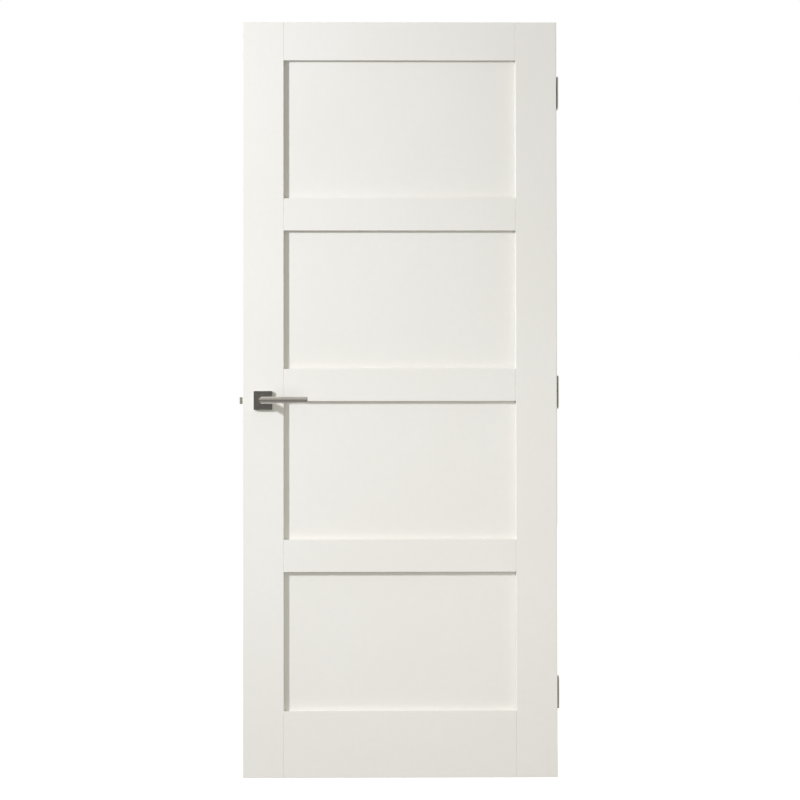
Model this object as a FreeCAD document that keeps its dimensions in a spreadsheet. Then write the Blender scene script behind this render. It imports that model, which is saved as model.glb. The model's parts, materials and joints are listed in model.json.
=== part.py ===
import FreeCAD, Part

import os
import re

import Sketcher

# A four-panel shaker door leaf with its lever handle, tubular latch and three butt hinges.
# Millimetres. X runs to the right seen from the front, the front faces -Y, Z is up.
# The origin is at the middle of the leaf's thickness and width, at its bottom edge.

SIZES = [
    ("leaf_width", 880, "overall width of the leaf"),
    ("leaf_height", 2115, "overall height of the leaf"),
    ("leaf_thickness", 40, "thickness of stiles and rails"),
    ("stile_width", 115, "width of each upright"),
    ("top_rail_height", 107, "height of the top rail"),
    ("mid_rail_height", 90, "height of each rail between panels"),
    ("bottom_rail_height", 186, "height of the bottom rail"),
    ("panel_recess", 13, "depth of a panel below the face, both sides"),
    ("groove_depth", 10, "depth of the groove that holds the panels"),
    ("panel_play", 1, "room for the panel to swell in its groove"),
    ("arris", 0.8, "chamfer on the edges that meet at a joint"),
    ("edge_arris", 1.2, "chamfer on the long outer edges of the leaf"),
    ("dowel_radius", 6, "radius of the dowels in the rail joints"),
    ("dowel_clear", 8, "end of a dowel from the lever's axis, across the leaf"),
    ("dowel_inset", 26, "dowel centre from the edge of its rail"),
    ("glue_gap", 0.1, "radial room round dowels, screws and latch"),
    ("running_gap", 0.1, "radial room between turning pieces"),
    ("handle_height", 1053.5, "height of the lever's axis"),
    ("backset", 57, "lever's axis from the edge of the leaf"),
    ("rosette_margin", 3.2, "rosette's edge beyond the heads of its bolts"),
    ("rosette_depth", 9, "how far the rosette stands off the leaf"),
    ("rosette_wall", 1.2, "sheet thickness of the rosette cover"),
    ("rosette_corner", 2, "corner radius of the rosette cover"),
    ("base_room", 0.3, "room between the rosette base and its cover"),
    ("base_depth", 6, "thickness of the rosette base"),
    ("base_lip", 1.5, "thickness of the lip at the back of the base"),
    ("bush_wall", 2, "wall of the nylon bush round the lever's neck"),
    ("spring_wire", 1.4, "wire diameter of the lever's return spring"),
    ("spring_turns", 2, "turns of the lever's return spring"),
    ("spring_room", 0.2, "room round the wire of the return spring"),
    ("spring_wall", 0.8, "wall between the bush and the return spring"),
    ("fixing_wall", 0.9, "wall between the return spring and a rosette bolt's head"),
    ("fixing_radius", 2, "shank radius of a rosette bolt"),
    ("fixing_head", 3.8, "head radius of a rosette bolt"),
    ("fixing_tip", 1, "end of a rosette bolt short of the base it is driven into"),
    ("lever_radius", 9.5, "outer radius of the lever's tube"),
    ("lever_wall", 1.5, "wall of the lever's tube"),
    ("lever_reach", 126, "lever's axis to the end of the grip"),
    ("lever_standoff", 50.5, "leaf face to the middle of the grip"),
    ("lever_edge", 0.8, "rounding of the grip's flat end"),
    ("core_reach", 26, "leaf face to the outer end of the lever's core"),
    ("core_sink", 4, "how far the core reaches into the leaf"),
    ("circlip_thickness", 1, "thickness of the retaining ring"),
    ("circlip_rise", 2, "retaining ring's outer edge above the core"),
    ("circlip_bite", 1, "depth of the retaining ring's groove"),
    ("spindle_side", 8, "side of the square spindle"),
    ("spindle_length", 84, "length of the spindle"),
    ("grub_place", 15, "leaf face to the lever's grub screw"),
    ("grub_radius", 2, "radius of the lever's grub screw"),
    ("bore_room", 1.1, "room round the retaining rings in the leaf"),
    ("latch_radius", 12.5, "outer radius of the latch tube"),
    ("latch_wall", 1, "wall of the latch tube"),
    ("latch_beyond", 19, "end of the latch beyond the lever's axis"),
    ("faceplate_height", 57, "height of the latch faceplate"),
    ("faceplate_width", 25.4, "width of the latch faceplate"),
    ("faceplate_thickness", 3, "thickness of the latch faceplate"),
    ("faceplate_corner", 5, "corner radius of the latch faceplate"),
    ("faceplate_spacing", 42, "distance between the faceplate screws"),
    ("bolt_width", 12, "thickness of the latch bolt"),
    ("bolt_height", 19, "height of the latch bolt"),
    ("bolt_length", 31, "length of the latch bolt's head"),
    ("bolt_throw", 9, "how far the latch bolt stands out"),
    ("bolt_nose", 2, "flat width left on the bolt's slanted nose"),
    ("tail_beyond", 3, "end of the bolt's tail plate beyond the lever's axis"),
    ("tail_width", 10, "width of the bolt's tail plate"),
    ("tail_thickness", 1.2, "thickness of the bolt's tail plate"),
    ("tail_gap", 0.4, "tail plate above the follower, and finger to window"),
    ("follower_radius", 8, "radius of the latch follower"),
    ("finger_reach", 10.6, "follower's axis to the tip of its finger"),
    ("finger_side", 3, "width of the follower's finger"),
    ("finger_angle", 27, "lean of the finger when the lever is level"),
    ("window_room", 2.2, "room before the finger in the tail's window"),
    ("bolt_spring_radius", 5, "coil radius of the bolt's spring"),
    ("bolt_spring_wire", 1, "wire diameter of the bolt's spring"),
    ("bolt_spring_turns", 6, "turns of the bolt's spring"),
    ("bolt_spring_drop", 2, "bolt's spring below the middle of the latch"),
    ("seat_thickness", 1.5, "plate behind the bolt's spring"),
    ("seat_room", 0.5, "room between that plate and the follower's hole"),
    ("root", 1, "how far one part of a solid runs into the next"),
    ("hinge_height", 89, "height of a hinge"),
    ("hinge_plate", 3, "thickness of a hinge plate"),
    ("hinge_reach", 33, "hinge plate's width on the leaf's edge"),
    ("hinge_corner", 9, "corner radius of a hinge plate"),
    ("hinge_gap", 3, "gap between the leaf and the jamb"),
    ("knuckle_radius", 6, "outer radius of a hinge knuckle"),
    ("knuckle_lift", 0.5, "room between the knuckle and the leaf's back"),
    ("pin_radius", 3.5, "radius of a hinge pin"),
    ("pin_head", 2, "thickness of the pin's head and of its tip"),
    ("washer_thickness", 1.6, "thickness of a hinge bearing washer"),
    ("washer_inset", 0.3, "washer's rim inside the knuckle's"),
    ("washer_play", 0.1, "axial room at each bearing washer"),
    ("top_hinge_drop", 195, "top of the leaf to the middle of the top hinge"),
    ("bottom_hinge_rise", 235, "bottom of the leaf to the middle of the lowest hinge"),
    ("screw_radius", 2.25, "shank radius of a wood screw"),
    ("screw_head", 4.3, "head radius of a wood screw"),
    ("screw_length", 30, "length of a wood screw"),
    ("screw_row", 7, "hinge screw hole from the edge of its plate"),
    ("screw_outer", 33, "outer hinge screw holes from the hinge's middle"),
    ("screw_inner", 14, "inner hinge screw holes from the hinge's middle"),
    ("drive_size", 1.5, "radius of the hexagon socket in a screw head"),
]

doc = FreeCAD.newDocument("PanelledDoor")
sheet = doc.addObject("Spreadsheet::Sheet", "Sizes")
for row, (size_name, size_value, size_note) in enumerate(SIZES, start=1):
    sheet.set(f"A{row}", size_name)
    sheet.set(f"B{row}", str(size_value))
    sheet.set(f"C{row}", size_note)
    sheet.setAlias(f"B{row}", size_name)
doc.recompute()

SIZE_NAMES = {name for name, value, note in SIZES}
WORD = re.compile(r"[a-z_]+")

X_AXIS = FreeCAD.Vector(1, 0, 0)
Y_AXIS = FreeCAD.Vector(0, 1, 0)
Z_AXIS = FreeCAD.Vector(0, 0, 1)
ALONG = {
    "+X": FreeCAD.Rotation(Y_AXIS, 90),
    "-X": FreeCAD.Rotation(Y_AXIS, -90),
    "+Y": FreeCAD.Rotation(X_AXIS, -90),
    "-Y": FreeCAD.Rotation(X_AXIS, 90),
    "+Z": FreeCAD.Rotation(),
}

# Places worked out from the sizes.
HALF_WIDTH = "(leaf_width/2)"
FACE = "(leaf_thickness/2)"
JOINT = "(leaf_width/2 - stile_width)"
TONGUE = "(leaf_thickness/2 - panel_recess)"
TONGUE_LENGTH = "(groove_depth - panel_play)"
OPENING = "((leaf_height - top_rail_height - bottom_rail_height - 3*mid_rail_height)/4)"
LEVER_X = "(backset - leaf_width/2)"
DOWEL_LENGTH = "(2*(stile_width - backset - dowel_clear))"
LATCH_LENGTH = "(backset + latch_beyond)"
FACEPLATE_BACK = "(faceplate_thickness - leaf_width/2)"
HINGE_X = "(leaf_width/2 + hinge_gap/2)"
HINGE_Y = "(leaf_thickness/2 + knuckle_lift + knuckle_radius)"
HINGES = {
    "top": "(leaf_height - top_hinge_drop)",
    "middle": "((leaf_height - top_hinge_drop + bottom_hinge_rise)/2)",
    "bottom": "(bottom_hinge_rise)",
}
SIDES = {"front": -1, "back": 1}
CORE_RADIUS = "(lever_radius - lever_wall - glue_gap)"
BUSH_RADIUS = "(lever_radius + running_gap + bush_wall + glue_gap)"
COIL_RADIUS = f"({BUSH_RADIUS} + spring_wall + spring_room + spring_wire/2)"
NECK_START = "(base_lip + 2*running_gap)"
RING_START = "(-circlip_thickness - running_gap)"
BORE_RADIUS = f"({CORE_RADIUS} + circlip_rise + bore_room)"
CHANNEL_RADIUS = f"({COIL_RADIUS} + spring_wire/2 + spring_room)"
FIXING = f"({CHANNEL_RADIUS} + fixing_wall + fixing_head)"
ROSETTE_SIDE = f"(2*({FIXING} + fixing_head + rosette_margin))"
COVER_ROOM = f"({ROSETTE_SIDE} - 2*rosette_wall)"
BASE_SIDE = f"({COVER_ROOM} - 2*base_room)"
FIXING_SINK = "(fixing_head - fixing_radius)"
BACK_ROW = "(leaf_thickness/2 - screw_row)"
FRONT_ROW = "(leaf_thickness/2 - hinge_reach + screw_row)"
# The zigzags of the two plates are opposed, so that no screw head faces another.
DOOR_ROWS = {"screw_outer": FRONT_ROW, "screw_inner": BACK_ROW}
JAMB_ROWS = {"screw_outer": BACK_ROW, "screw_inner": FRONT_ROW}
KNUCKLES = 5
KNUCKLE = f"((hinge_height - {KNUCKLES - 1}*washer_thickness)/{KNUCKLES})"


def formula(text):
    """Point each size's name in a formula at its cell of the sheet."""
    return WORD.sub(lambda word: f"Sizes.{word[0]}" if word[0] in SIZE_NAMES else word[0], text)


def number(text):
    """Work out a formula of the sizes as they are now."""
    return float(sheet.evalExpression(text))


def bind(item, **formulas):
    """Tie an object's properties to formulas of the sizes."""
    for name, text in formulas.items():
        item.setExpression(name, formula(text))


def place(item, x="0", y="0", z="0", along="+Z"):
    """Turn an object's Z along one direction and tie its place to the sizes."""
    item.Placement = FreeCAD.Placement(FreeCAD.Vector(), ALONG[along])
    for axis, text in (("x", x), ("y", y), ("z", z)):
        item.setExpression(f"Placement.Base.{axis}", formula(text))
    return item


def box(x, y, z, length, width, height):
    """A box from its lowest corner and its sides along X, Y and Z."""
    item = doc.addObject("Part::Box", "Block")
    bind(item, Length=length, Width=width, Height=height)
    return place(item, x, y, z)


def rod(radius, length, x="0", y="0", z="0", along="+Z"):
    """A cylinder from the centre of its first end."""
    item = doc.addObject("Part::Cylinder", "Rod")
    bind(item, Radius=radius, Height=length)
    return place(item, x, y, z, along)


def taper(radius, end_radius, length, x, y, z, along):
    """A cone cut short, from the centre of its first end."""
    item = doc.addObject("Part::Cone", "Taper")
    bind(item, Radius1=radius, Radius2=end_radius, Height=length)
    return place(item, x, y, z, along)


def hexagon(radius, length, x, y, z, along):
    """A six-sided bar from the centre of its first end."""
    item = doc.addObject("Part::Prism", "Hexagon")
    item.Polygon = 6
    bind(item, Circumradius=radius, Height=length)
    return place(item, x, y, z, along)


def joined(items, label="Joined"):
    """One solid made of several that meet."""
    item = doc.addObject("Part::MultiFuse", "Joined")
    item.Shapes = items
    item.Refine = True
    item.Label = label
    return item


def cut(base, tools, label="Cut"):
    """A solid with several others taken out of it."""
    item = doc.addObject("Part::Cut", "Cut")
    item.Base = base
    item.Tool = tools[0] if len(tools) == 1 else joined(tools)
    item.Label = label
    return item


def group(items, label):
    """Separate solids that are kept as one sub-part."""
    item = doc.addObject("Part::Compound", "Group")
    item.Links = items
    item.Label = label
    return item


def body(label):
    """An empty PartDesign body."""
    item = doc.addObject("PartDesign::Body", "Body")
    item.Label = label
    return item


def sketch(owner, role):
    """An empty sketch on one of its body's own planes."""
    item = owner.newObject("Sketcher::SketchObject", "Sketch")
    plane = next(feature for feature in owner.Origin.OriginFeatures if feature.Role == role)
    item.AttachmentSupport = [(plane, "")]
    item.MapMode = "FlatFace"
    return item


def pin_point(item, edge, end, x, y, name):
    """Hold one point of a sketch at a place given by two formulas."""
    for axis, text in (("X", x), ("Y", y)):
        rule = Sketcher.Constraint(f"Distance{axis}", -1, 1, edge, end, number(text))
        item.renameConstraint(item.addConstraint(rule), f"{name}{axis}")
        item.setExpression(f"Constraints.{name}{axis}", formula(text))


def outline(item, points, closed=True):
    """Straight lines through points that are given by formulas."""
    corners = [FreeCAD.Vector(number(x), number(y), 0) for x, y in points]
    first = item.GeometryCount
    count = len(corners) if closed else len(corners) - 1
    for index in range(count):
        line = Part.LineSegment(corners[index], corners[(index + 1) % len(corners)])
        item.addGeometry(line, False)
    for index in range(count if closed else count - 1):
        following = (index + 1) % count
        item.addConstraint(Sketcher.Constraint("Coincident", first + index, 2, first + following, 1))
    for index, (x, y) in enumerate(points[:count]):
        pin_point(item, first + index, 1, x, y, f"corner{index}")
    if not closed:
        pin_point(item, first + count - 1, 2, points[-1][0], points[-1][1], "end")


def ring(item, radius, x="0", y="0"):
    """A circle whose centre and radius are given by formulas."""
    centre = FreeCAD.Vector(number(x), number(y), 0)
    index = item.addGeometry(Part.Circle(centre, Z_AXIS, number(radius)), False)
    pin_point(item, index, 3, x, y, f"centre{index}")
    size = item.addConstraint(Sketcher.Constraint("Radius", index, number(radius)))
    item.renameConstraint(size, f"radius{index}")
    item.setExpression(f"Constraints.radius{index}", formula(radius))


def pad(owner, profile, length):
    """Raise a sketch along its plane's normal."""
    item = owner.newObject("PartDesign::Pad", "Pad")
    item.Profile = profile
    bind(item, Length=length)
    return item


def rectangle(x, y, length, width):
    """Corners of a rectangle about a centre."""
    left, right = f"{x} - {length}/2", f"{x} + {length}/2"
    low, high = f"{y} - {width}/2", f"{y} + {width}/2"
    return [(left, low), (right, low), (right, high), (left, high)]


def opening_bottom(index):
    """Height of the lower edge of a panel opening, counted from the bottom."""
    return f"(bottom_rail_height + {index}*({OPENING} + mid_rail_height))"


def rails():
    """Each rail's label, the height of its lower edge and its own height."""
    names = ["lower_rail", "lock_rail", "upper_rail"]
    rows = [("bottom_rail", "0", "bottom_rail_height")]
    for index, name in enumerate(names):
        rows.append((name, f"({opening_bottom(index)} + {OPENING})", "mid_rail_height"))
    rows.append(("top_rail", "(leaf_height - top_rail_height)", "top_rail_height"))
    return rows


def dowel_rods(rows, sides, radius="dowel_radius + glue_gap"):
    """Rods through the joints of some rails, on the given sides of the leaf."""
    rods = []
    for label, low, height in rows:
        for side in sides:
            start = f"{side}*{JOINT} - {DOWEL_LENGTH}/2"
            for level in (f"{low} + dowel_inset", f"{low} + {height} - dowel_inset"):
                rods.append(rod(radius, DOWEL_LENGTH, start, "0", level, "+X"))
    return rods


def stile_blank(side):
    """An upright with its panel groove and softened edges, before any hole."""
    owner = body("Stile blank")
    section = sketch(owner, "XY_Plane")
    half = [
        (f"{HALF_WIDTH} - edge_arris", FACE),
        (HALF_WIDTH, f"{FACE} - edge_arris"),
    ]
    inner = [
        (f"{JOINT} + groove_depth", TONGUE),
        (JOINT, TONGUE),
        (JOINT, f"{FACE} - arris"),
        (f"{JOINT} + arris", FACE),
    ]
    upper = inner + half
    lower = [(x, f"-({y})") for x, y in reversed(upper)]
    outline(section, [(f"{side}*({x})", y) for x, y in upper + lower])
    pad(owner, section, "leaf_height")
    return owner


def latch_stile():
    """The upright that carries the latch, bored for it and for the handle."""
    middle = "handle_height"
    tools = dowel_rods(rails(), [-1])
    tools.append(faceplate_blank("faceplate_thickness", "Faceplate recess"))
    tools.append(rod("latch_radius + glue_gap", LATCH_LENGTH, f"-{HALF_WIDTH}", "0", middle, "+X"))
    tools.append(rod(BORE_RADIUS, "leaf_thickness", LEVER_X, f"-{FACE}", middle, "+Y"))
    for side in (-1, 1):
        fixing = f"{middle} + {side}*{FIXING}"
        tools.append(rod("fixing_radius + glue_gap", "leaf_thickness", LEVER_X, f"-{FACE}", fixing, "+Y"))
        screw = f"{middle} + {side}*faceplate_spacing/2"
        tools.append(rod("screw_radius + glue_gap", "screw_length", f"-{HALF_WIDTH}", "0", screw, "+X"))
    return cut(stile_blank(-1), tools, "latch_stile")


def hinge_stile():
    """The upright that carries the hinges, with their recesses and pilot holes."""
    tools = dowel_rods(rails(), [1])
    for middle in HINGES.values():
        tools.append(hinge_plate_blank(middle, f"{HALF_WIDTH} - hinge_plate", "Hinge recess"))
        for y, z in hinge_holes(middle, DOOR_ROWS):
            tools.append(rod("screw_radius + glue_gap", "screw_length", HALF_WIDTH, y, z, "-X"))
    return cut(stile_blank(1), tools, "hinge_stile")


def rail(label, low, height):
    """A cross piece with a tongue on each end and a groove beside each panel."""
    owner = body("Rail blank")
    plan = sketch(owner, "XY_Plane")
    end = f"{JOINT} + {TONGUE_LENGTH}"
    corner = [(end, TONGUE), (JOINT, TONGUE), (JOINT, f"{FACE} - arris"), (f"{JOINT} - arris", FACE)]
    back = corner + [(f"-({x})", y) for x, y in reversed(corner)]
    outline(plan, back + [(x, f"-({y})") for x, y in reversed(back)])
    pad(owner, plan, height)
    place(owner, z=low)
    tools = dowel_rods([(label, low, height)], SIDES.values())
    edges = {"bottom_rail": [1], "top_rail": [0]}.get(label, [0, 1])
    for edge in edges:
        start = f"{low} + {edge}*({height} - groove_depth)"
        sides = (f"2*({end})", f"2*{TONGUE}", "groove_depth")
        tools.append(box(f"-({end})", f"-{TONGUE}", start, *sides))
    return cut(owner, tools, label)


def panel(label, index):
    """A flat panel that floats in the grooves round its opening."""
    width = f"2*({JOINT} + {TONGUE_LENGTH})"
    height = f"{OPENING} + 2*{TONGUE_LENGTH}"
    low = f"{opening_bottom(index)} - {TONGUE_LENGTH}"
    item = box(f"-{width}/2", f"-{TONGUE}", low, width, f"2*{TONGUE}", height)
    item.Label = label
    return item


def rounded_plate(owner, plane, centre, sides, depth, corner, free_side=None):
    """A plate raised from a rectangle. Its corners are rounded, but for those on a free side."""
    profile = sketch(owner, plane)
    outline(profile, rectangle(*centre, *sides))
    raised = pad(owner, profile, depth)
    doc.recompute()
    normal = {"XZ_Plane": Y_AXIS, "YZ_Plane": X_AXIS}[plane]
    names = []
    for index, edge in enumerate(raised.Shape.Edges, start=1):
        start = edge.Vertexes[0].Point
        run = edge.Vertexes[-1].Point - start
        straight = abs(run.dot(normal)) > 0.999 * run.Length
        if straight and (free_side is None or start.dot(free_side) < 0):
            names.append(f"Edge{index}")
    fillet = owner.newObject("PartDesign::Fillet", "Corners")
    fillet.Base = (raised, names)
    bind(fillet, Radius=corner)


def faceplate_blank(thickness, label):
    """The faceplate's outline, let in flush with the edge of the leaf."""
    owner = body(label)
    sides = ("faceplate_width", "faceplate_height")
    rounded_plate(owner, "YZ_Plane", ("0", "0"), sides, thickness, "faceplate_corner")
    return place(owner, x=f"-{HALF_WIDTH}", z="handle_height")


def screw(x, y, z, along):
    """A countersunk screw with a hexagon socket, its head flush at the start."""
    head_depth = "(screw_head - screw_radius)"
    shank = rod("screw_radius", "screw_length", x, y, z, along)
    head = taper("screw_head", "screw_radius", head_depth, x, y, z, along)
    socket = hexagon("drive_size", head_depth, x, y, z, along)
    return cut(joined([shank, head]), [socket])


def screw_hole(x, y, z, along, depth):
    """The countersunk hole that a screw sits in."""
    head_depth = "(screw_head - screw_radius)"
    clear = rod("screw_radius + glue_gap", depth, x, y, z, along)
    sink = taper("screw_head + glue_gap", "screw_radius + glue_gap", head_depth, x, y, z, along)
    return [clear, sink]


def latch_faceplate():
    """The plate at the edge of the leaf, with the bolt's window and two screw holes."""
    window = box(
        f"-{HALF_WIDTH}",
        "-bolt_width/2 - running_gap",
        "handle_height - bolt_height/2 - running_gap",
        "faceplate_thickness",
        "bolt_width + 2*running_gap",
        "bolt_height + 2*running_gap",
    )
    tools = [window]
    for side in (-1, 1):
        level = f"handle_height + {side}*faceplate_spacing/2"
        tools += screw_hole(f"-{HALF_WIDTH}", "0", level, "+X", "faceplate_thickness")
    return cut(faceplate_blank("faceplate_thickness", "Faceplate blank"), tools, "latch_faceplate")


def latch_case():
    """The steel tube that holds the latch, with cross holes for the follower."""
    length = f"({LATCH_LENGTH} - faceplate_thickness)"
    inner = "latch_radius - latch_wall"
    tube = rod("latch_radius", length, FACEPLATE_BACK, "0", "handle_height", "+X")
    hollow = rod(inner, f"{length} - latch_wall", FACEPLATE_BACK, "0", "handle_height", "+X")
    across = rod(
        "follower_radius + running_gap",
        "2*latch_radius",
        LEVER_X,
        "-latch_radius",
        "handle_height",
        "+Y",
    )
    return cut(tube, [hollow, across], "latch_case")


def seat_x():
    """The face of the plate that the bolt's spring pushes on."""
    return f"({LEVER_X} - follower_radius - running_gap - seat_room - seat_thickness)"


def latch_spring_seat():
    """A plate fixed in the tube, cut low on top so that the bolt's tail passes over it."""
    inner = "(latch_radius - latch_wall)"
    disc = rod(inner, "seat_thickness", seat_x(), "0", "handle_height", "+X")
    low = "handle_height + follower_radius"
    top = box(seat_x(), f"-{inner}", low, "seat_thickness", f"2*{inner}", inner)
    return cut(disc, [top], "latch_spring_seat")


def latch_bolt():
    """The bolt: a head whose nose slants to the side that meets the strike, and a tail plate."""
    owner = body("Bolt head")
    plan = sketch(owner, "XY_Plane")
    half = "bolt_width/2"
    points = [
        ("0", half),
        ("0", f"{half} - bolt_nose"),
        ("bolt_throw", f"-{half}"),
        ("bolt_length", f"-{half}"),
        ("bolt_length", half),
    ]
    outline(plan, points)
    pad(owner, plan, "bolt_height")
    tip = f"(-{HALF_WIDTH} - bolt_throw)"
    place(owner, tip, "0", "handle_height - bolt_height/2")
    back = f"({tip} + bolt_length - root)"
    level = "handle_height + follower_radius + tail_gap"
    length = f"{LEVER_X} + tail_beyond - {back}"
    tail = box(back, "-tail_width/2", level, length, "tail_width", "tail_thickness")
    start = f"({LEVER_X} - finger_reach*sin(finger_angle) - finger_side/2 - window_room)"
    run = f"{LEVER_X} - {finger_face()} + tail_gap - {start}"
    width = "(finger_side + 2*tail_gap)"
    window = box(start, f"-{width}/2", level, run, width, "tail_thickness")
    return cut(joined([owner, tail]), [window], "latch_bolt")


def finger_face():
    """How far the finger's driving face lies before the axis, at the tail plate's lower side."""
    lean = "(follower_radius + tail_gap)*tan(finger_angle)"
    return f"({lean} - finger_side/(2*cos(finger_angle)))"


def latch_bolt_spring():
    """The compression spring between the bolt's head and its seat."""
    owner = body("latch_bolt_spring")
    start = f"(-{HALF_WIDTH} - bolt_throw + bolt_length)"
    room = f"({seat_x()} - {start})"
    rise = f"{room} - bolt_spring_wire"
    helix(owner, "bolt_spring_radius", "bolt_spring_wire", rise, "bolt_spring_turns")
    return place(owner, start, "0", "handle_height - bolt_spring_drop", "+X")


def latch_follower():
    """The hub that the spindle turns, with the finger that draws the bolt."""
    length = "(2*latch_radius)"
    hub = rod("follower_radius", length, LEVER_X, "-latch_radius", "handle_height", "+Y")
    owner = body("Finger")
    side_view = sketch(owner, "XZ_Plane")
    start = "(follower_radius - root)"
    corners = [(start, -1), (start, 1), ("finger_reach", 1), ("finger_reach", -1)]
    points = []
    for reach, hand in corners:
        across = f"{hand}*finger_side/2"
        x = f"({across})*cos(finger_angle) - {reach}*sin(finger_angle)"
        z = f"({across})*sin(finger_angle) + {reach}*cos(finger_angle)"
        points.append((x, z))
    outline(side_view, points)
    pad(owner, side_view, "finger_side")
    place(owner, LEVER_X, "finger_side/2", "handle_height")
    return cut(joined([hub, owner]), [square_bar(length, "glue_gap")], "latch_follower")


def square_bar(length, room="0"):
    """The spindle's section, centred in the leaf, with room on every side."""
    side = f"(spindle_side + 2*{room})"
    corner = (f"{LEVER_X} - {side}/2", f"-{length}/2", f"handle_height - {side}/2")
    return box(*corner, side, length, side)


def spindle():
    """The square bar that joins both levers and the follower."""
    item = square_bar("spindle_length")
    item.Label = "spindle"
    return item


def out(side, distance):
    """The place of a point at a distance out from the leaf's front or back face."""
    return f"({side}*({FACE} + {distance}))"


def lever_rod(radius, start, length, side):
    """A rod on the lever's axis that runs outwards from a distance off the leaf."""
    along = "-Y" if side < 0 else "+Y"
    return rod(radius, length, LEVER_X, out(side, start), "handle_height", along)


def slab(width, start, depth, side):
    """A square slab on the lever's axis, from a distance off the leaf outwards."""
    low_y = out(side, f"{start} + {depth}") if side < 0 else out(side, start)
    return box(f"{LEVER_X} - {width}/2", low_y, f"handle_height - {width}/2", width, depth, width)


def rosette_cover(name):
    """The square pressed cap that hides the rosette's base."""
    side = SIDES[name]
    owner = body("Cover blank")
    sides = (ROSETTE_SIDE, ROSETTE_SIDE)
    rounded_plate(owner, "XZ_Plane", ("0", "0"), sides, "rosette_depth", "rosette_corner")
    # The sketch's plane faces -Y, so the blank grows from its place towards the front.
    place(owner, LEVER_X, out(side, "0" if side < 0 else "rosette_depth"), "handle_height")
    hollow = slab(COVER_ROOM, "0", "(rosette_depth - rosette_wall)", side)
    hole = lever_rod("lever_radius + running_gap", "0", "rosette_depth", side)
    return cut(owner, [hollow, hole], f"rosette_cover_{name}")


def rosette_base(name):
    """The base: a lip that the core turns in, a seat for the bush and a channel for the spring."""
    side = SIDES[name]
    plate = slab(BASE_SIDE, "0", "base_depth", side)
    floor = "(base_lip - glue_gap)"
    depth = f"(base_depth - {floor})"
    ridge = lever_rod(f"{COIL_RADIUS} - spring_wire/2 - spring_room", floor, depth, side)
    channel = cut(lever_rod(CHANNEL_RADIUS, floor, depth, side), [ridge])
    tools = [
        channel,
        lever_rod(f"{CORE_RADIUS} + running_gap", "0", "base_lip", side),
        lever_rod(BUSH_RADIUS, "base_lip", "(base_depth - base_lip)", side),
    ]
    for hand in (-1, 1):
        level = f"handle_height + {hand}*{FIXING}"
        if name == "back":
            tools += bolt_hole(level)
        else:
            start = (LEVER_X, f"-{FACE}", level, "-Y")
            tools.append(rod("fixing_radius + glue_gap", "base_depth", *start))
    return cut(plate, tools, f"rosette_base_{name}")


def bolt_hole(level):
    """The countersunk hole in the back base that a rosette bolt goes through."""
    start = (LEVER_X, out(1, "base_depth"), level, "-Y")
    clear = rod("fixing_radius + glue_gap", "base_depth", *start)
    sink = taper("fixing_head + glue_gap", "fixing_radius + glue_gap", FIXING_SINK, *start)
    return [clear, sink]


def rosette_bolts():
    """Two bolts through the leaf that draw both rosette bases together."""
    bolts = []
    for hand in (-1, 1):
        start = (LEVER_X, out(1, "base_depth"), f"handle_height + {hand}*{FIXING}", "-Y")
        shank = rod("fixing_radius", "leaf_thickness + 2*base_depth - fixing_tip", *start)
        head = taper("fixing_head", "fixing_radius", FIXING_SINK, *start)
        bolts.append(cut(joined([shank, head]), [hexagon("drive_size", FIXING_SINK, *start)]))
    return group(bolts, "rosette_bolts")


def lever_bush(name):
    """The nylon ring between the lever's neck and the rosette."""
    side = SIDES[name]
    length = "(rosette_depth - rosette_wall - base_lip)"
    outer = lever_rod(f"{BUSH_RADIUS} - glue_gap", "base_lip", length, side)
    inner = lever_rod("lever_radius + running_gap", "base_lip", length, side)
    return cut(outer, [inner], f"lever_bush_{name}")


def lever_return_spring(name):
    """The coil that brings the lever back to level, round the bush."""
    side = SIDES[name]
    owner = body(f"lever_return_spring_{name}")
    rise = "(spring_turns*(spring_wire + spring_room))"
    helix(owner, COIL_RADIUS, "spring_wire", rise, "spring_turns")
    return place(owner, LEVER_X, out(side, "base_lip"), "handle_height", "-Y" if side < 0 else "+Y")


def helix(owner, radius, wire, rise, turns):
    """A coil about the body's own Z, resting on its XY plane."""
    profile = sketch(owner, "XZ_Plane")
    ring(profile, f"{wire}/2", radius, f"{wire}/2")
    coil = owner.newObject("PartDesign::AdditiveHelix", "Coil")
    coil.Profile = profile
    coil.ReferenceAxis = (profile, ["V_Axis"])
    coil.Mode = "height-turns-angle"
    bind(coil, Height=rise, Turns=turns)


def lever(name):
    """The round tube, mitred at its corner and closed at the end of the grip."""
    side = SIDES[name]
    owner = body("Lever tube")
    neck = f"(lever_standoff - {NECK_START})"
    for kind, radius, reach in (
        ("PartDesign::AdditivePipe", "lever_radius", "lever_reach"),
        ("PartDesign::SubtractivePipe", "lever_radius - lever_wall", "lever_reach - lever_wall"),
    ):
        section = sketch(owner, "XZ_Plane")
        ring(section, radius)
        path = sketch(owner, "XY_Plane")
        middle = f"{side}*{neck}"
        outline(path, [("0", "0"), ("0", middle), (reach, middle)], closed=False)
        pipe = owner.newObject(kind, "Tube")
        pipe.Profile = section
        pipe.Spine = (path, ["Edge1", "Edge2"])
        pipe.Transition = "Right corner"
        if kind == "PartDesign::AdditivePipe":
            round_grip_end(owner, pipe)
    place(owner, LEVER_X, out(side, NECK_START), "handle_height")
    return cut(owner, [grub_hole("lever_radius", side)], f"lever_{name}")


def round_grip_end(owner, pipe):
    """Soften the rim of the grip's flat end."""
    doc.recompute()
    names = []
    for index, edge in enumerate(pipe.Shape.Edges, start=1):
        if edge.BoundBox.XMin > number("(lever_reach - lever_radius)"):
            names.append(f"Edge{index}")
    fillet = owner.newObject("PartDesign::Fillet", "Rim")
    fillet.Base = (pipe, names)
    bind(fillet, Radius="lever_edge")


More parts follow.
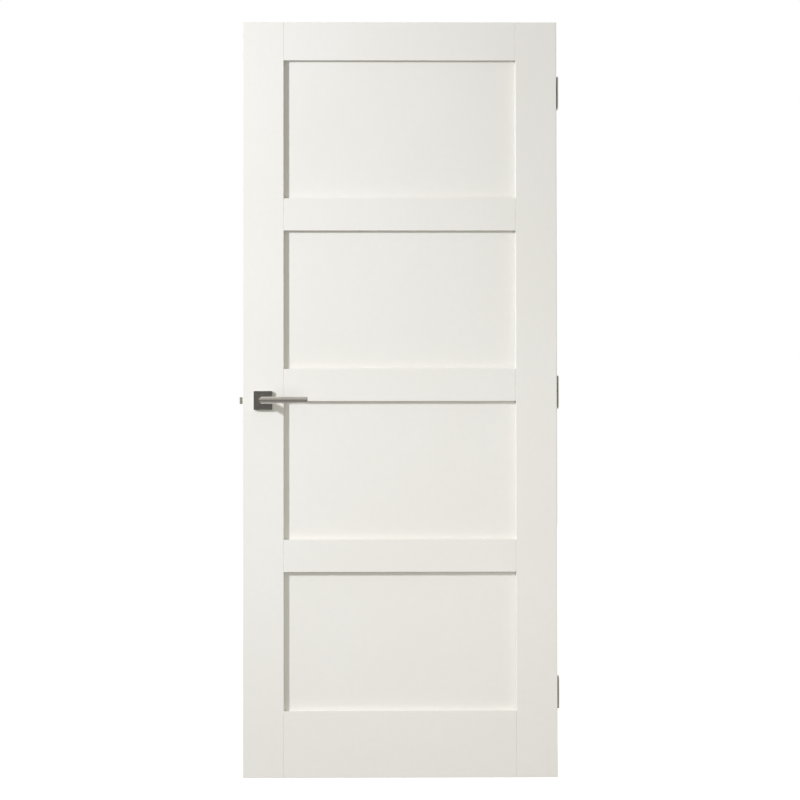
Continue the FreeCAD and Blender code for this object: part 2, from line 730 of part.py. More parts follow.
def grub_hole(reach, side):
    """The hole for the grub screw, from the lever's axis straight down."""
    start = f"handle_height - {reach}"
    return rod("grub_radius + glue_gap", reach, LEVER_X, out(side, "grub_place"), start)


def lever_core(name):
    """The plug in the lever's neck: it takes the spindle and turns in the rosette's base."""
    side = SIDES[name]
    length = "(core_reach + core_sink)"
    plug = lever_rod(CORE_RADIUS, "-core_sink", length, side)
    groove_outer = lever_rod(CORE_RADIUS, RING_START, "circlip_thickness", side)
    groove_inner = lever_rod(f"{CORE_RADIUS} - circlip_bite", RING_START, "circlip_thickness", side)
    groove = cut(groove_outer, [groove_inner])
    socket = square_bar("(spindle_length + 2*glue_gap)", "glue_gap")
    return cut(plug, [groove, socket, grub_hole(CORE_RADIUS, side)], f"lever_core_{name}")


def lever_circlip(name):
    """The open ring in the core's groove, which keeps the lever in its rosette."""
    side = SIDES[name]
    outer = lever_rod(f"{CORE_RADIUS} + circlip_rise", RING_START, "circlip_thickness", side)
    inner = lever_rod(f"{CORE_RADIUS} - circlip_bite", RING_START, "circlip_thickness", side)
    low_y = out(side, f"{RING_START} + circlip_thickness") if side < 0 else out(side, RING_START)
    corner = (f"{LEVER_X} - {CORE_RADIUS}/2", low_y, "handle_height")
    mouth = box(*corner, CORE_RADIUS, "circlip_thickness", BORE_RADIUS)
    return cut(outer, [inner, mouth], f"lever_circlip_{name}")


def lever_grub_screws():
    """The screws that pinch the spindle in each lever, from below."""
    screws = []
    for side in SIDES.values():
        length = "(lever_radius - spindle_side/2 - 2*glue_gap)"
        start = "handle_height - lever_radius + glue_gap"
        place_of = (LEVER_X, out(side, "grub_place"), start)
        shank = rod("grub_radius", length, *place_of)
        screws.append(cut(shank, [hexagon("drive_size", "grub_radius", *place_of, "+Z")]))
    return group(screws, "lever_grub_screws")


def latch_faceplate_screws():
    """The two screws that hold the latch in the edge of the leaf."""
    screws = []
    for hand in (-1, 1):
        level = f"handle_height + {hand}*faceplate_spacing/2"
        screws.append(screw(f"-{HALF_WIDTH}", "0", level, "+X"))
    return group(screws, "latch_faceplate_screws")


def hinge_plate_blank(middle, x, label):
    """The outline of one hinge plate, square at the back and rounded at its free edge."""
    owner = body(label)
    sides = ("hinge_reach", "hinge_height")
    rounded_plate(owner, "YZ_Plane", ("0", "0"), sides, "hinge_plate", "hinge_corner", free_side=Y_AXIS)
    return place(owner, x, f"{FACE} - hinge_reach/2", middle)


def hinge_holes(middle, rows):
    """Places of the four screw holes in a hinge plate, as a zigzag."""
    holes = []
    for distance, row in rows.items():
        for hand in (-1, 1):
            holes.append((row, f"({middle} + {hand}*{distance})"))
    return holes


def knuckle_start(middle, index):
    """Height of the lower end of one knuckle, counted from the lowest."""
    return f"({middle} - hinge_height/2 + {index}*({KNUCKLE} + washer_thickness))"


def hinge_leaf(middle, x, knuckles, play, holes, label):
    """One plate of a hinge with its knuckles, its pin hole and its screw holes."""
    solids = [hinge_plate_blank(middle, x, "Plate blank")]
    for index in knuckles:
        low = f"{knuckle_start(middle, index)} + {play}"
        height = f"{KNUCKLE} - 2*{play}"
        solids.append(rod("knuckle_radius", height, HINGE_X, HINGE_Y, low))
        reach = f"{HINGE_Y} - {FACE} + root"
        solids.append(box(x, f"{FACE} - root", low, "hinge_plate", reach, height))
    pin_start = f"{middle} - hinge_height/2"
    pin_hole = rod("pin_radius + running_gap", "hinge_height", HINGE_X, HINGE_Y, pin_start)
    return cut(joined(solids), [pin_hole] + holes, label)


def hinge_door_plate(name):
    """The plate let into the edge of the leaf, with two knuckles."""
    middle = HINGES[name]
    holes = []
    for y, z in hinge_holes(middle, DOOR_ROWS):
        holes += screw_hole(HALF_WIDTH, y, z, "-X", "hinge_plate")
    x = f"({HALF_WIDTH} - hinge_plate)"
    return hinge_leaf(middle, x, (1, 3), "washer_play", holes, f"hinge_door_plate_{name}")


def hinge_jamb_plate(name):
    """The plate for the jamb, with three knuckles."""
    middle = HINGES[name]
    x = f"({HALF_WIDTH} + hinge_gap)"
    holes = []
    for y, z in hinge_holes(middle, JAMB_ROWS):
        holes += screw_hole(x, y, z, "+X", "hinge_plate")
    return hinge_leaf(middle, x, (0, 2, 4), "0", holes, f"hinge_jamb_plate_{name}")


def hinge_pin(name):
    """The pin with its flat head, dropped in from above."""
    middle = HINGES[name]
    pin = rod("pin_radius", "hinge_height", HINGE_X, HINGE_Y, f"{middle} - hinge_height/2")
    head = rod("knuckle_radius", "pin_head", HINGE_X, HINGE_Y, f"{middle} + hinge_height/2")
    return joined([pin, head], f"hinge_pin_{name}")


def hinge_pin_tips():
    """The caps pressed on the lower ends of the three pins."""
    tips = []
    for middle in HINGES.values():
        start = f"{middle} - hinge_height/2 - pin_head"
        tips.append(rod("knuckle_radius", "pin_head", HINGE_X, HINGE_Y, start))
    return group(tips, "hinge_pin_tips")


def hinge_washers():
    """The bearing washers between the knuckles, four on each hinge."""
    washers = []
    for middle in HINGES.values():
        for index in range(KNUCKLES - 1):
            place_of = (HINGE_X, HINGE_Y, f"{knuckle_start(middle, index)} + {KNUCKLE}")
            disc = rod("knuckle_radius - washer_inset", "washer_thickness", *place_of)
            washers.append(cut(disc, [rod("pin_radius + running_gap", "washer_thickness", *place_of)]))
    return group(washers, "hinge_washers")


def hinge_screws():
    """The wood screws that hold the three door-side plates."""
    screws = []
    for middle in HINGES.values():
        for y, z in hinge_holes(middle, DOOR_ROWS):
            screws.append(screw(HALF_WIDTH, y, z, "-X"))
    return group(screws, "hinge_screws")


def rail_dowels():
    """The dowels that pin every rail to both stiles."""
    return group(dowel_rods(rails(), SIDES.values(), "dowel_radius"), "rail_dowels")


def all_pieces():
    """Every separate piece of the door."""
    pieces = [latch_stile(), hinge_stile(), rail_dowels()]
    pieces += [rail(*row) for row in rails()]
    names = ["bottom_panel", "lower_panel", "upper_panel", "top_panel"]
    pieces += [panel(name, index) for index, name in enumerate(names)]
    pieces += [latch_faceplate(), latch_faceplate_screws(), latch_case(), latch_spring_seat()]
    pieces += [latch_bolt(), latch_bolt_spring(), latch_follower(), spindle()]
    pieces += [rosette_bolts(), lever_grub_screws()]
    makers = [rosette_cover, rosette_base, lever_bush, lever_return_spring]
    makers += [lever, lever_core, lever_circlip]
    pieces += [make(name) for make in makers for name in SIDES]
    pieces += [make(name) for make in (hinge_door_plate, hinge_jamb_plate, hinge_pin) for name in HINGES]
    pieces += [hinge_pin_tips(), hinge_washers(), hinge_screws()]
    return pieces


def export(pieces):
    """Check the whole document, then write one file for each piece."""
    doc.recompute()
    for item in doc.Objects:
        if "Invalid" in item.State or "Error" in item.State:
            raise RuntimeError(f"{item.Label} failed: {item.State}")
    os.makedirs("parts", exist_ok=True)
    for item in pieces:
        shape = item.Shape
        if shape.isNull() or not shape.isValid() or not shape.Solids:
            raise RuntimeError(f"{item.Label} has no valid solid")
        shape.exportStep(f"parts/{item.Label}.step")
        print(f"{item.Label}: {len(shape.Solids)} solid(s), {shape.Volume / 1000:.2f} cm3")


export(all_pieces())
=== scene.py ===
import json
import math

import bmesh
import bpy
from mathutils import Matrix, Vector, noise


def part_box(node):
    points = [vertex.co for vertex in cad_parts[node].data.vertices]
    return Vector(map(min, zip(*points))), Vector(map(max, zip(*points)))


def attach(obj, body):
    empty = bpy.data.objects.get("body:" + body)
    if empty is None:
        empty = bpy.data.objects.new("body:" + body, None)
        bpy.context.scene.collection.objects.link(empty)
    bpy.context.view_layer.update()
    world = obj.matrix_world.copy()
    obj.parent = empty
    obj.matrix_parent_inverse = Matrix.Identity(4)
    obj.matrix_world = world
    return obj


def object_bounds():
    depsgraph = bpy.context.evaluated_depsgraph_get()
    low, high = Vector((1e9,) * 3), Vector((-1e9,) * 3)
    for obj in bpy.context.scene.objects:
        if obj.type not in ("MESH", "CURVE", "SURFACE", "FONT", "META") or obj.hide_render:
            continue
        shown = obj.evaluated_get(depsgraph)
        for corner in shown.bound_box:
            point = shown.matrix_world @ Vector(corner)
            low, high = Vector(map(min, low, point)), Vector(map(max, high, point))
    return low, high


# Looks of the panelled door, in metres, in the frame of its CAD model.

MILLIMETRE = 0.001
QUARTER_TURN = math.pi / 2

# Camera, on the viewer's side of the front face.
CAMERA_PLACE = (-0.131, -8.0, 0.891)
CAMERA_PITCH = math.radians(1.174)
CAMERA_YAW = math.radians(0.942)
CAMERA_ROLL = math.radians(-0.065)
CAMERA_FIELD = math.radians(15.968)

# Key light: a small soft box high on the left, shared by two lamps. One lights the stiles and
# the fittings. The other lights the panels and rails, and leaves the front lever's shadow off them.
KEY_PLACE = (-3.56, -2.65, 2.74)
KEY_SIDE = 0.4
KEY_POWER = 196.0
KEY_COLOUR = (0.93, 0.945, 1.0)

# Bounce light: a wide card low in front, which lifts the lower half.
BOUNCE_PLACE = (0.45, -1.6, 0.45)
BOUNCE_AIM = (0.1, 0.0, 0.5)
BOUNCE_SIDE = 1.4
BOUNCE_POWER = 6.6
BOUNCE_COLOUR = (0.98, 1.0, 0.93)

# Light from the room in front and at the sides: its strength, and how much of that comes from
# below and from above. The heights are shares of the way from straight down to straight up.
ROOM_COLOUR = (1.0, 0.965, 0.905)
ROOM_STRENGTH = 0.43
ROOM_LOW = 0.72
ROOM_LOW_HEIGHT = 0.15
ROOM_HIGH = 1.30
ROOM_HIGH_HEIGHT = 0.85

# Light from the room behind the door, and the shares of the way from front to back at which it
# starts and is full.
ROOM_BEHIND = 0.95
BEHIND_STARTS = 0.45
BEHIND_FULL = 0.75

# Dark patch towards the viewer, which the steel reflects: how much light is left in it, and the
# cosines of the angles at which it starts and is full.
VIEWER_SHADE = 0.24
VIEWER_SHADE_EDGE = 0.955
VIEWER_SHADE_CORE = 0.99

FLOOR_SIDE = 60.0
FLOOR_GAP = 2 * MILLIMETRE
FLOOR_GLOW = 0.7
FLOOR_ROUGHNESS = 0.9

# Fillet of lacquer round each panel: its size, its steps across, the space between its stations,
# how much its size wanders, and how often it does so to the metre along and across the leaf.
BEAD_RADIUS = 1.6 * MILLIMETRE
BEAD_STEPS = 5
BEAD_STATION = 18 * MILLIMETRE
BEAD_UNEVEN = 0.12
BEAD_WAVES = 9
BEAD_WAVES_ACROSS = 50

# Which way each face of the leaf looks along Y.
FACES = {-1: "front", 1: "back"}

SMOOTH_ANGLE = math.radians(32)

# Sockets of the node that mixes two colours.
MIX_SHARE = 0
MIX_FIRST = 6
MIX_SECOND = 7
MIX_RESULT = 2

# Ranges: the whole of a share, the middle of one noise and of two added up.
WHOLE = (0.0, 1.0)
NOISE_MIDDLE = (0.3, 0.7)
TWO_NOISES_MIDDLE = (0.7, 1.3)

# Patterns along an axis: repeats to the metre along X, Y and Z.
EVEN = (1.0, 1.0, 1.0)
GRAIN_ALONG_Z = (260.0, 260.0, 9.0)
GRAIN_ALONG_X = (9.0, 260.0, 260.0)
BRUSHED_ALONG_Z = (3800.0, 3800.0, 60.0)
BRUSHED_ALONG_X = (60.0, 3800.0, 3800.0)
ROLLED = (1500.0, 1500.0, 1500.0)

# Lacquer.
PAINT_PALE = (0.845, 0.832, 0.795)
PAINT_WARM = (0.825, 0.808, 0.762)
PAINT_DUSTY = (0.80, 0.785, 0.745)
# Painted shade on faces that look along X: the leaf's upright edges and the sides of the recesses.
PAINT_EDGE_SHADE = (0.71, 0.695, 0.65)
# Painted shade in creases, laid on by ambient occlusion.
PAINT_CREASE_SHADE = (0.62, 0.595, 0.54)
PAINT_MOTTLE = {"scale": 2.3, "detail": 4.0, "roughness": 0.55}
PAINT_DUST = {"scale": 60.0, "detail": 3.0, "roughness": 0.6}
PAINT_GRAIN = {"detail": 4.0, "roughness": 0.6}
PAINT_PEEL = {"scale": 650.0, "detail": 2.0}
PAINT_GRAIN_RELIEF = {"distance": 0.05 * MILLIMETRE, "strength": 0.35}
PAINT_PEEL_RELIEF = {"distance": 0.02 * MILLIMETRE}
PAINT_DUST_SHARE = (0.0, 0.35)
PAINT_ROUGHNESS = (0.36, 0.46)
PAINT_SPECULAR = 0.45
PAINT_COAT = 0.08

# How squarely a face looks along X where the painted shade on it starts, and where it is darkest.
EDGE_SHADE_TURN = (0.8, 0.95)

# Painted shade in creases: how far a crease reaches, how much painted shade lies in it, and how open
# the places are where that is reached and where the painted shade ends.
CREASE_REACH = 6 * MILLIMETRE
CREASE_SHADE = (0.55, 0.0)
CREASE_OPEN = (0.35, 0.9)
CREASE_SAMPLES = 8

# Powder coat on the hinges.
COAT_PEEL = {"scale": 1400.0, "detail": 2.0}
COAT_DUST = {"scale": 90.0, "detail": 4.0, "roughness": 0.65}
COAT_ROUGHNESS = (0.30, 0.42)
COAT_SHEEN = 0.1

# Metals. The brush lines and the handling marks share the polish between them.
METAL_BRUSH = {"roughness": 0.65}
METAL_CLOUD = {"scale": 38.0, "detail": 4.0, "roughness": 0.6}
METAL_MARKS = {"scale": 190.0, "roughness": 0.7}
METAL_CLOUD_TAKEN = (0.42, 0.72)
METAL_POLISH_TAKEN = (0.38, 0.62)
BRUSH_SHARE = 0.6
MARKS_SHARE = 0.4
SCRATCH_RELIEF = {"distance": 0.002 * MILLIMETRE}
STAINLESS = {
    "pale": (0.74, 0.72, 0.685),
    "dark": (0.66, 0.645, 0.61),
    "roughness": (0.17, 0.23),
    "anisotropy": 0.3,
}
ZINC_STEEL = {
    "pale": (0.60, 0.61, 0.60),
    "dark": (0.42, 0.43, 0.44),
    "roughness": (0.34, 0.50),
    "stain": 0.5,
}
SPRING_STEEL = {
    "pale": (0.42, 0.42, 0.43),
    "dark": (0.25, 0.25, 0.26),
    "roughness": (0.30, 0.42),
}
SCREW_STEEL = {
    "pale": (0.62, 0.61, 0.58),
    "dark": (0.44, 0.43, 0.41),
    "roughness": (0.26, 0.40),
}
NICKEL = {
    "pale": (0.66, 0.63, 0.57),
    "dark": (0.50, 0.47, 0.42),
    "roughness": (0.18, 0.30),
}

# Bare wood.
WOOD_DARK = (0.50, 0.33, 0.19)
WOOD_PALE = (0.72, 0.54, 0.35)
WOOD_PORE = (0.33, 0.20, 0.11)
WOOD_RINGS = {"detail": 5.0, "roughness": 0.6, "stretch": (14.0, 420.0, 420.0)}
WOOD_PORES = {"detail": 2.0, "roughness": 0.7, "stretch": (90.0, 2600.0, 2600.0)}
WOOD_PORE_SHARE = (0.0, 0.5)
WOOD_PORE_TAKEN = (0.5, 0.7)
WOOD_PORE_RELIEF = {"distance": 0.08 * MILLIMETRE}
WOOD_ROUGHNESS = (0.55, 0.72)

# Nylon.
NYLON_DARK = (0.70, 0.69, 0.65)
NYLON_PALE = (0.80, 0.79, 0.75)
NYLON_CLOUD = {"scale": 120.0, "detail": 4.0, "roughness": 0.6}
NYLON_GRIT = {"scale": 2400.0, "detail": 2.0}
NYLON_GRIT_RELIEF = {"distance": 0.01 * MILLIMETRE, "strength": 0.4}
NYLON_ROUGHNESS = (0.38, 0.5)

# Floor paper.
PAPER_DARK = (0.86, 0.86, 0.85)
PAPER_PALE = (0.88, 0.88, 0.87)
PAPER_CLOUD = {"scale": 0.7, "detail": 2.0}

WHITE = (1.0, 1.0, 1.0)

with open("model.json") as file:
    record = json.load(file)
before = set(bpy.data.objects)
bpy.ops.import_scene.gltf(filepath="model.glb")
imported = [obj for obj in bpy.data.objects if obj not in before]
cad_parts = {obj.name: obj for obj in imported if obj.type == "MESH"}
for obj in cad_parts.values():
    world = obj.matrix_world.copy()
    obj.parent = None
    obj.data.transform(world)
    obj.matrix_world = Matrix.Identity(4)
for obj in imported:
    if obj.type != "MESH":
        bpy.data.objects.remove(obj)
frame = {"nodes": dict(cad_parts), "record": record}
cad_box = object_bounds()
nodes = frame["nodes"]


class Tree:
    """A node tree being made, with short ways to add nodes to it."""

    def __init__(self, tree):
        self.tree = tree

    def add(self, kind, inputs=None, **settings):
        """One node. Each input is a plain value or another node's output."""
        node = self.tree.nodes.new(kind)
        for name, value in settings.items():
            setattr(node, name, value)
        for name, value in (inputs or {}).items():
            self.feed(node.inputs[name], value)
        return node

    def feed(self, socket, value):
        """Set one input, or link it. A plain colour comes without its alpha."""
        if isinstance(value, bpy.types.NodeSocket):
            self.tree.links.new(value, socket)
        elif socket.type == "RGBA":
            socket.default_value = (*value, 1.0)
        else:
            socket.default_value = value

    def combine(self, operation, *values):
        """One value worked out from others."""
        node = self.add("ShaderNodeMath", dict(enumerate(values)), operation=operation)
        return node.outputs[0]

    def ease(self, value, start, end):
        """A value turned into another, which eases from one to the next of two points."""
        node = self.add("ShaderNodeValToRGB", {0: value})
        node.color_ramp.interpolation = "EASE"
        for stop, (position, level) in zip(node.color_ramp.elements, (start, end)):
            stop.position = position
            stop.color = (level, level, level, 1.0)
        return node.outputs[0]


class Surface(Tree):
    """A material being made."""

    def __init__(self, name):
        self.material = bpy.data.materials.new(name)
        self.material.use_nodes = True
        super().__init__(self.material.node_tree)
        self.shader = self.tree.nodes["Principled BSDF"]
        self.coordinates = self.add("ShaderNodeTexCoord").outputs

    def noise(self, scale=1.0, detail=3.0, roughness=0.5, stretch=EVEN):
        """Noise over the object, with more repeats to the metre along the stretched axes."""
        inputs = {"Vector": self.coordinates["Object"], "Scale": stretch}
        place = self.add("ShaderNodeMapping", inputs).outputs[0]
        inputs = {"Vector": place, "Scale": scale, "Detail": detail, "Roughness": roughness}
        return self.add("ShaderNodeTexNoise", inputs).outputs[0]

    def facing(self, axis):
        """How squarely the surface faces along one of the object's axes, either way."""
        split = self.add("ShaderNodeSeparateXYZ", {"Vector": self.coordinates["Normal"]})
        return self.combine("ABSOLUTE", split.outputs[axis])

    def spread(self, value, onto, taken=NOISE_MIDDLE):
        """A value spread onto one range from the range that it is taken from."""
        inputs = {"Value": value, "From Min": taken[0], "From Max": taken[1]}
        inputs["To Min"], inputs["To Max"] = onto
        return self.add("ShaderNodeMapRange", inputs).outputs[0]

    def blend(self, share, first, second):
        """Two colours mixed by the share of the second."""
        inputs = {MIX_SHARE: share, MIX_FIRST: first, MIX_SECOND: second}
        return self.add("ShaderNodeMix", inputs, data_type="RGBA").outputs[MIX_RESULT]

    def relief(self, height, distance, strength=0.5):
        """Relief of a real depth."""
        inputs = {"Height": height, "Distance": distance, "Strength": strength}
        return self.add("ShaderNodeBump", inputs)

    def finish(self, **inputs):
        """Set the shader's own inputs and give the material."""
        for name, value in inputs.items():
            self.feed(self.shader.inputs[name.replace("_", " ")], value)
        return self.material


def paint(name, grain_lines):
    """Sprayed satin lacquer: faint mottle, orange peel, and the grain just telling through.

    Painted shade greys the faces that look along X, the leaf's upright edges and the sides of its
    recesses, and darkens its creases.
    """
    surface = Surface(name)
    mottle = surface.noise(**PAINT_MOTTLE)
    dust = surface.noise(**PAINT_DUST)
    grain = surface.relief(surface.noise(**PAINT_GRAIN, stretch=grain_lines), **PAINT_GRAIN_RELIEF)
    peel = surface.relief(surface.noise(**PAINT_PEEL), **PAINT_PEEL_RELIEF)
    surface.feed(peel.inputs["Normal"], grain.outputs[0])
    inputs = {"Distance": CREASE_REACH}
    crease = surface.add("ShaderNodeAmbientOcclusion", inputs, samples=CREASE_SAMPLES).outputs["AO"]
    both = surface.combine("ADD", mottle, dust)
    coat = surface.blend(surface.spread(mottle, WHOLE), PAINT_WARM, PAINT_PALE)
    coat = surface.blend(surface.spread(dust, PAINT_DUST_SHARE), coat, PAINT_DUSTY)
    # Painted shade greys the faces that look along X: the leaf's upright edges and the recess sides.
    coat = surface.blend(surface.spread(surface.facing("X"), WHOLE, EDGE_SHADE_TURN), coat, PAINT_EDGE_SHADE)
    # Painted shade in creases, where ambient occlusion finds them.
    coat = surface.blend(surface.spread(crease, CREASE_SHADE, CREASE_OPEN), coat, PAINT_CREASE_SHADE)
    return surface.finish(
        Base_Color=coat,
        Roughness=surface.spread(both, PAINT_ROUGHNESS, TWO_NOISES_MIDDLE),
        Normal=peel.outputs[0],
        Specular_IOR_Level=PAINT_SPECULAR,
        Coat_Weight=PAINT_COAT,
    )


def metal(name, lines, pale, dark, roughness, anisotropy=0.0, stain=0.25):
    """Metal with brush lines along one direction, cloudy handling marks and worn gloss."""
    surface = Surface(name)
    brush = surface.noise(**METAL_BRUSH, stretch=lines)
    cloud = surface.noise(**METAL_CLOUD)
    marks = surface.noise(**METAL_MARKS)
    brushed = surface.combine("MULTIPLY", brush, BRUSH_SHARE)
    marked = surface.combine("MULTIPLY", marks, MARKS_SHARE)
    polish = surface.combine("ADD", brushed, marked)
    bright = surface.blend(surface.spread(brush, WHOLE), dark, pale)
    return surface.finish(
        Base_Color=surface.blend(surface.spread(cloud, (0.0, stain), METAL_CLOUD_TAKEN), bright, dark),
        Metallic=1.0,
        Roughness=surface.spread(polish, roughness, METAL_POLISH_TAKEN),
        Normal=surface.relief(brush, **SCRATCH_RELIEF).outputs[0],
        Anisotropic=anisotropy,
    )


def powder_coat(name):
    """White powder coat on steel: a close, even orange peel with dust in it."""
    surface = Surface(name)
    peel = surface.noise(**COAT_PEEL)
    dust = surface.noise(**COAT_DUST)
    return surface.finish(
        Base_Color=surface.blend(surface.spread(dust, WHOLE), PAINT_DUSTY, PAINT_PALE),
        Roughness=surface.spread(dust, COAT_ROUGHNESS),
        Normal=surface.relief(peel, **PAINT_PEEL_RELIEF).outputs[0],
        Coat_Weight=COAT_SHEEN,
    )


def bare_wood(name):
    """Turned hardwood: rings and pores along X."""
    surface = Surface(name)
    rings = surface.noise(**WOOD_RINGS)
    pores = surface.noise(**WOOD_PORES)
    ringed = surface.blend(surface.spread(rings, WHOLE), WOOD_DARK, WOOD_PALE)
    pore_share = surface.spread(pores, WOOD_PORE_SHARE, WOOD_PORE_TAKEN)
    return surface.finish(
        Base_Color=surface.blend(pore_share, ringed, WOOD_PORE),
        Roughness=surface.spread(rings, WOOD_ROUGHNESS),
        Normal=surface.relief(pores, **WOOD_PORE_RELIEF).outputs[0],
    )


def nylon(name):
    """Moulded nylon, a little cloudy."""
    surface = Surface(name)
    cloud = surface.noise(**NYLON_CLOUD)
    grit = surface.noise(**NYLON_GRIT)
    return surface.finish(
        Base_Color=surface.blend(surface.spread(cloud, WHOLE), NYLON_DARK, NYLON_PALE),
        Roughness=surface.spread(grit, NYLON_ROUGHNESS),
        Normal=surface.relief(grit, **NYLON_GRIT_RELIEF).outputs[0],
    )


def finishes():
    """Every finish, by the record's material slots."""
    return {
        "painted_wood": paint("painted_wood", GRAIN_ALONG_Z),
        "bare_wood": bare_wood("bare_wood"),
        "brushed_stainless": metal("brushed_stainless", BRUSHED_ALONG_X, **STAINLESS),
        "hinge_steel": powder_coat("hinge_steel"),
        "zinc_steel": metal("zinc_steel", ROLLED, **ZINC_STEEL),
        "spring_steel": metal("spring_steel", ROLLED, **SPRING_STEEL),
        "screw_steel": metal("screw_steel", ROLLED, **SCREW_STEEL),
        "nickel": metal("nickel", BRUSHED_ALONG_Z, **NICKEL),
        "nylon": nylon("nylon"),
    }


def dress_cad_nodes(materials):
    """Give each CAD node its finish, with the grain or the brush lines along its length."""
    cross_paint = paint("painted_wood_cross", GRAIN_ALONG_X)
    upright_steel = metal("brushed_stainless_upright", BRUSHED_ALONG_Z, **STAINLESS)
    for part in frame["record"]["subparts"]:
        name = part["node"]
        finish = materials[part["material_slot"]]
        if name.endswith("_rail"):
            finish = cross_paint
        elif name == "latch_faceplate":
            finish = upright_steel
        nodes[name].data.materials.clear()
        nodes[name].data.materials.append(finish)


def smooth(mesh):
    """Shade all faces of a mesh smoothly."""
    mesh.polygons.foreach_set("use_smooth", [True] * len(mesh.polygons))


def soften(item):
    """Shade a node's round faces smoothly and keep its real edges sharp."""
    smooth(item.data)
    split = item.modifiers.new("edges", "EDGE_SPLIT")
    split.split_angle = SMOOTH_ANGLE


def opening_round(panel):
    """Left, right, low and high edge of the opening that a panel fills."""
    low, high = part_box(panel)
    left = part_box("latch_stile")[1].x
    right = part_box("hinge_stile")[0].x
    middle = (low.z + high.z) / 2
    rails = [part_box(name) for name in nodes if name.endswith("_rail")]
    bottom = max(top.z for _, top in rails if top.z < middle)
    ceiling = min(base.z for base, _ in rails if base.z > middle)
    return left, right, bottom, ceiling


def bead_section(place, push, face, side, radius):
    """Points of the hollow fillet, from the panel's face to the wall of the opening."""
    points = []
    for step in range(BEAD_STEPS + 1):
        angle = QUARTER_TURN * step / BEAD_STEPS
        inset = radius * (1 - math.sin(angle))
        rise = radius * (1 - math.cos(angle))
        points.append((place.x + push.x * inset, face + side * rise, place.y + push.y * inset))
    return points


def bead_sections(panel, side):
    """Sections of a panel's fillet at its stations, in order round the opening."""
    left, right, bottom, ceiling = opening_round(panel)
    low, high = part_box(panel)
    face = low.y if side < 0 else high.y
    ends = [(left, bottom), (right, bottom), (right, ceiling), (left, ceiling)]
    corners = [Vector(end) for end in ends]
    inward = [Vector(way) for way in ((1, 1), (-1, 1), (-1, -1), (1, -1))]
    sections = []
    for index, start in enumerate(corners):
        following = (index + 1) % len(corners)
        end = corners[following]
        stations = round((end - start).length / BEAD_STATION)
        for station in range(stations):
            place = start.lerp(end, station / stations)
            push = inward[index] if station == 0 else (inward[index] + inward[following]) / 2
            waves = Vector((place.x * BEAD_WAVES, face * BEAD_WAVES_ACROSS, place.y * BEAD_WAVES))
            radius = BEAD_RADIUS * (1 + BEAD_UNEVEN * noise.noise(waves))
            sections.append(bead_section(place, push, face, side, radius))
    return sections


def bead(panel, side, finish):
    """The fillet of lacquer that closes the joint between a panel and its opening."""
    mesh = bmesh.new()
    rows = [[mesh.verts.new(point) for point in section] for section in bead_sections(panel, side)]
    for index, row in enumerate(rows):
        following = rows[(index + 1) % len(rows)]
        for step in range(BEAD_STEPS):
            mesh.faces.new((row[step], following[step], following[step + 1], row[step + 1]))
    bmesh.ops.recalc_face_normals(mesh, faces=mesh.faces)
    data = bpy.data.meshes.new(f"lacquer_bead_{panel}")
    mesh.to_mesh(data)
    mesh.free()
    smooth(data)
    data.materials.append(finish)
    item = bpy.data.objects.new(f"lacquer_bead_{panel}_{FACES[side]}", data)
    bpy.context.scene.collection.objects.link(item)
    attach(item, "leaf")
    return item


def add_floor():
    """A plain pale floor, which the door neither reflects nor is lit by."""
    surface = Surface("floor_paper")
    cloud = surface.noise(**PAPER_CLOUD)
    paper = surface.finish(
        Base_Color=surface.blend(surface.spread(cloud, WHOLE), PAPER_DARK, PAPER_PALE),
        Roughness=FLOOR_ROUGHNESS,
        Emission_Color=WHITE,
        Emission_Strength=FLOOR_GLOW,
    )
    data = bpy.data.meshes.new("floor")
    half = FLOOR_SIDE / 2
    level = cad_box[0][2] - FLOOR_GAP
    corners = [(-half, -half, level), (half, -half, level), (half, half, level), (-half, half, level)]
    data.from_pydata(corners, [], [(0, 1, 2, 3)])
    data.materials.append(paper)
    item = bpy.data.objects.new("floor", data)
    bpy.context.scene.collection.objects.link(item)
    item.visible_diffuse = False
    item.visible_glossy = False


def share_of_way(room, component):
    """A direction's component, from -1 to 1, as a share of the way from one end to the other."""
    return room.combine("MULTIPLY_ADD", component, 0.5, 0.5)


def add_room_light():
    """A white room: plain white to look at, and shaded for the light that it gives."""
    world = bpy.data.worlds.new("room")
    world.use_nodes = True
    world.node_tree.nodes.clear()
    room = Tree(world.node_tree)
    direction = room.add("ShaderNodeTexCoord").outputs["Generated"]
    split = room.add("ShaderNodeSeparateXYZ", {"Vector": direction}).outputs
    away = share_of_way(room, split["Y"])
    upward = share_of_way(room, split["Z"])
    towards_viewer = room.combine("MULTIPLY", split["Y"], -1.0)
    behind = room.ease(away, (BEHIND_STARTS, 0.0), (BEHIND_FULL, ROOM_BEHIND))
    shade = room.ease(towards_viewer, (VIEWER_SHADE_EDGE, 1.0), (VIEWER_SHADE_CORE, VIEWER_SHADE))
    height = room.ease(upward, (ROOM_LOW_HEIGHT, ROOM_LOW), (ROOM_HIGH_HEIGHT, ROOM_HIGH))
    front = room.combine("MULTIPLY", room.combine("MULTIPLY", height, ROOM_STRENGTH), shade)
    strength = room.combine("MAXIMUM", front, behind)
    lit = room.add("ShaderNodeBackground", {"Color": ROOM_COLOUR, "Strength": strength})
    white = room.add("ShaderNodeBackground", {"Color": WHITE})
    seen = room.add("ShaderNodeLightPath").outputs["Is Camera Ray"]
    chooser = room.add("ShaderNodeMixShader", {0: seen, 1: lit.outputs[0], 2: white.outputs[0]})
    room.add("ShaderNodeOutputWorld", {"Surface": chooser.outputs[0]})
    bpy.context.scene.world = world


def add_soft_box(name, place, aim, side, power, tint):
    """A square soft box that faces a point."""
    lamp = bpy.data.lights.new(name, "AREA")
    lamp.shape = "SQUARE"
    lamp.size = side
    lamp.energy = power
    lamp.color = tint
    item = bpy.data.objects.new(name, lamp)
    item.location = place
    item.rotation_euler = (Vector(aim) - Vector(place)).to_track_quat("-Z", "Y").to_euler()
    bpy.context.scene.collection.objects.link(item)
    return item


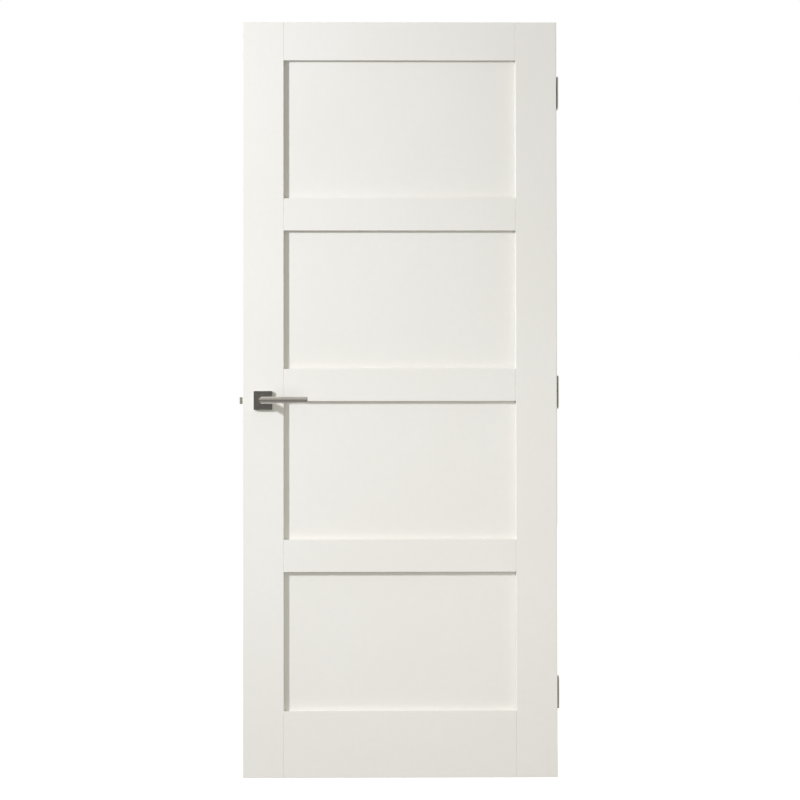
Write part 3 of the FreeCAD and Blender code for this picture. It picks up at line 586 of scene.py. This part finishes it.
def linked(name, items, state):
    """A list of objects for a lamp. By its state the lamp works on them alone, or leaves them out."""
    chosen = bpy.data.collections.new(name)
    for item in items:
        chosen.objects.link(item)
    for member in chosen.collection_objects:
        member.light_linking.link_state = state
    return chosen


def add_key_light(sheltered, no_shadow):
    """The key light. Its second lamp lights the sheltered pieces, past those that cast no shadow."""
    middle = ((cad_box[0][0] + cad_box[1][0]) / 2, 0.0, (cad_box[0][2] + cad_box[1][2]) / 2)
    looks = (KEY_PLACE, middle, KEY_SIDE, KEY_POWER, KEY_COLOUR)
    first = add_soft_box("key", *looks)
    first.light_linking.receiver_collection = linked("key_leaves_out", sheltered, "EXCLUDE")
    second = add_soft_box("second_key", *looks)
    second.light_linking.receiver_collection = linked("second_key_lights", sheltered, "INCLUDE")
    second.light_linking.blocker_collection = linked("second_key_passes", no_shadow, "EXCLUDE")


def add_bounce_light():
    """The bounce light, which the fittings don't reflect."""
    card = add_soft_box("bounce", BOUNCE_PLACE, BOUNCE_AIM, BOUNCE_SIDE, BOUNCE_POWER, BOUNCE_COLOUR)
    card.visible_glossy = False


def add_camera():
    """The viewer's camera, nearly level with the middle of the leaf."""
    data = bpy.data.cameras.new("viewer")
    data.sensor_fit = "HORIZONTAL"
    data.angle = CAMERA_FIELD
    item = bpy.data.objects.new("viewer", data)
    turn = Matrix.Rotation(-CAMERA_YAW, 4, "Z")
    tilt = Matrix.Rotation(QUARTER_TURN + CAMERA_PITCH, 4, "X")
    roll = Matrix.Rotation(CAMERA_ROLL, 4, "Z")
    item.matrix_world = Matrix.Translation(CAMERA_PLACE) @ turn @ tilt @ roll
    bpy.context.scene.collection.objects.link(item)
    bpy.context.scene.camera = item


finish_of_slot = finishes()
dress_cad_nodes(finish_of_slot)
for node in nodes.values():
    soften(node)
panels = [name for name in nodes if name.endswith("_panel")]
beads = [bead(panel, side, finish_of_slot["painted_wood"]) for panel in panels for side in FACES]
add_floor()
add_room_light()
panels_and_rails = [item for name, item in nodes.items() if name.endswith(("_panel", "_rail"))]
add_key_light(panels_and_rails + beads, [nodes["lever_front"]])
add_bounce_light()
add_camera()
bpy.context.scene.view_settings.view_transform = "Standard"
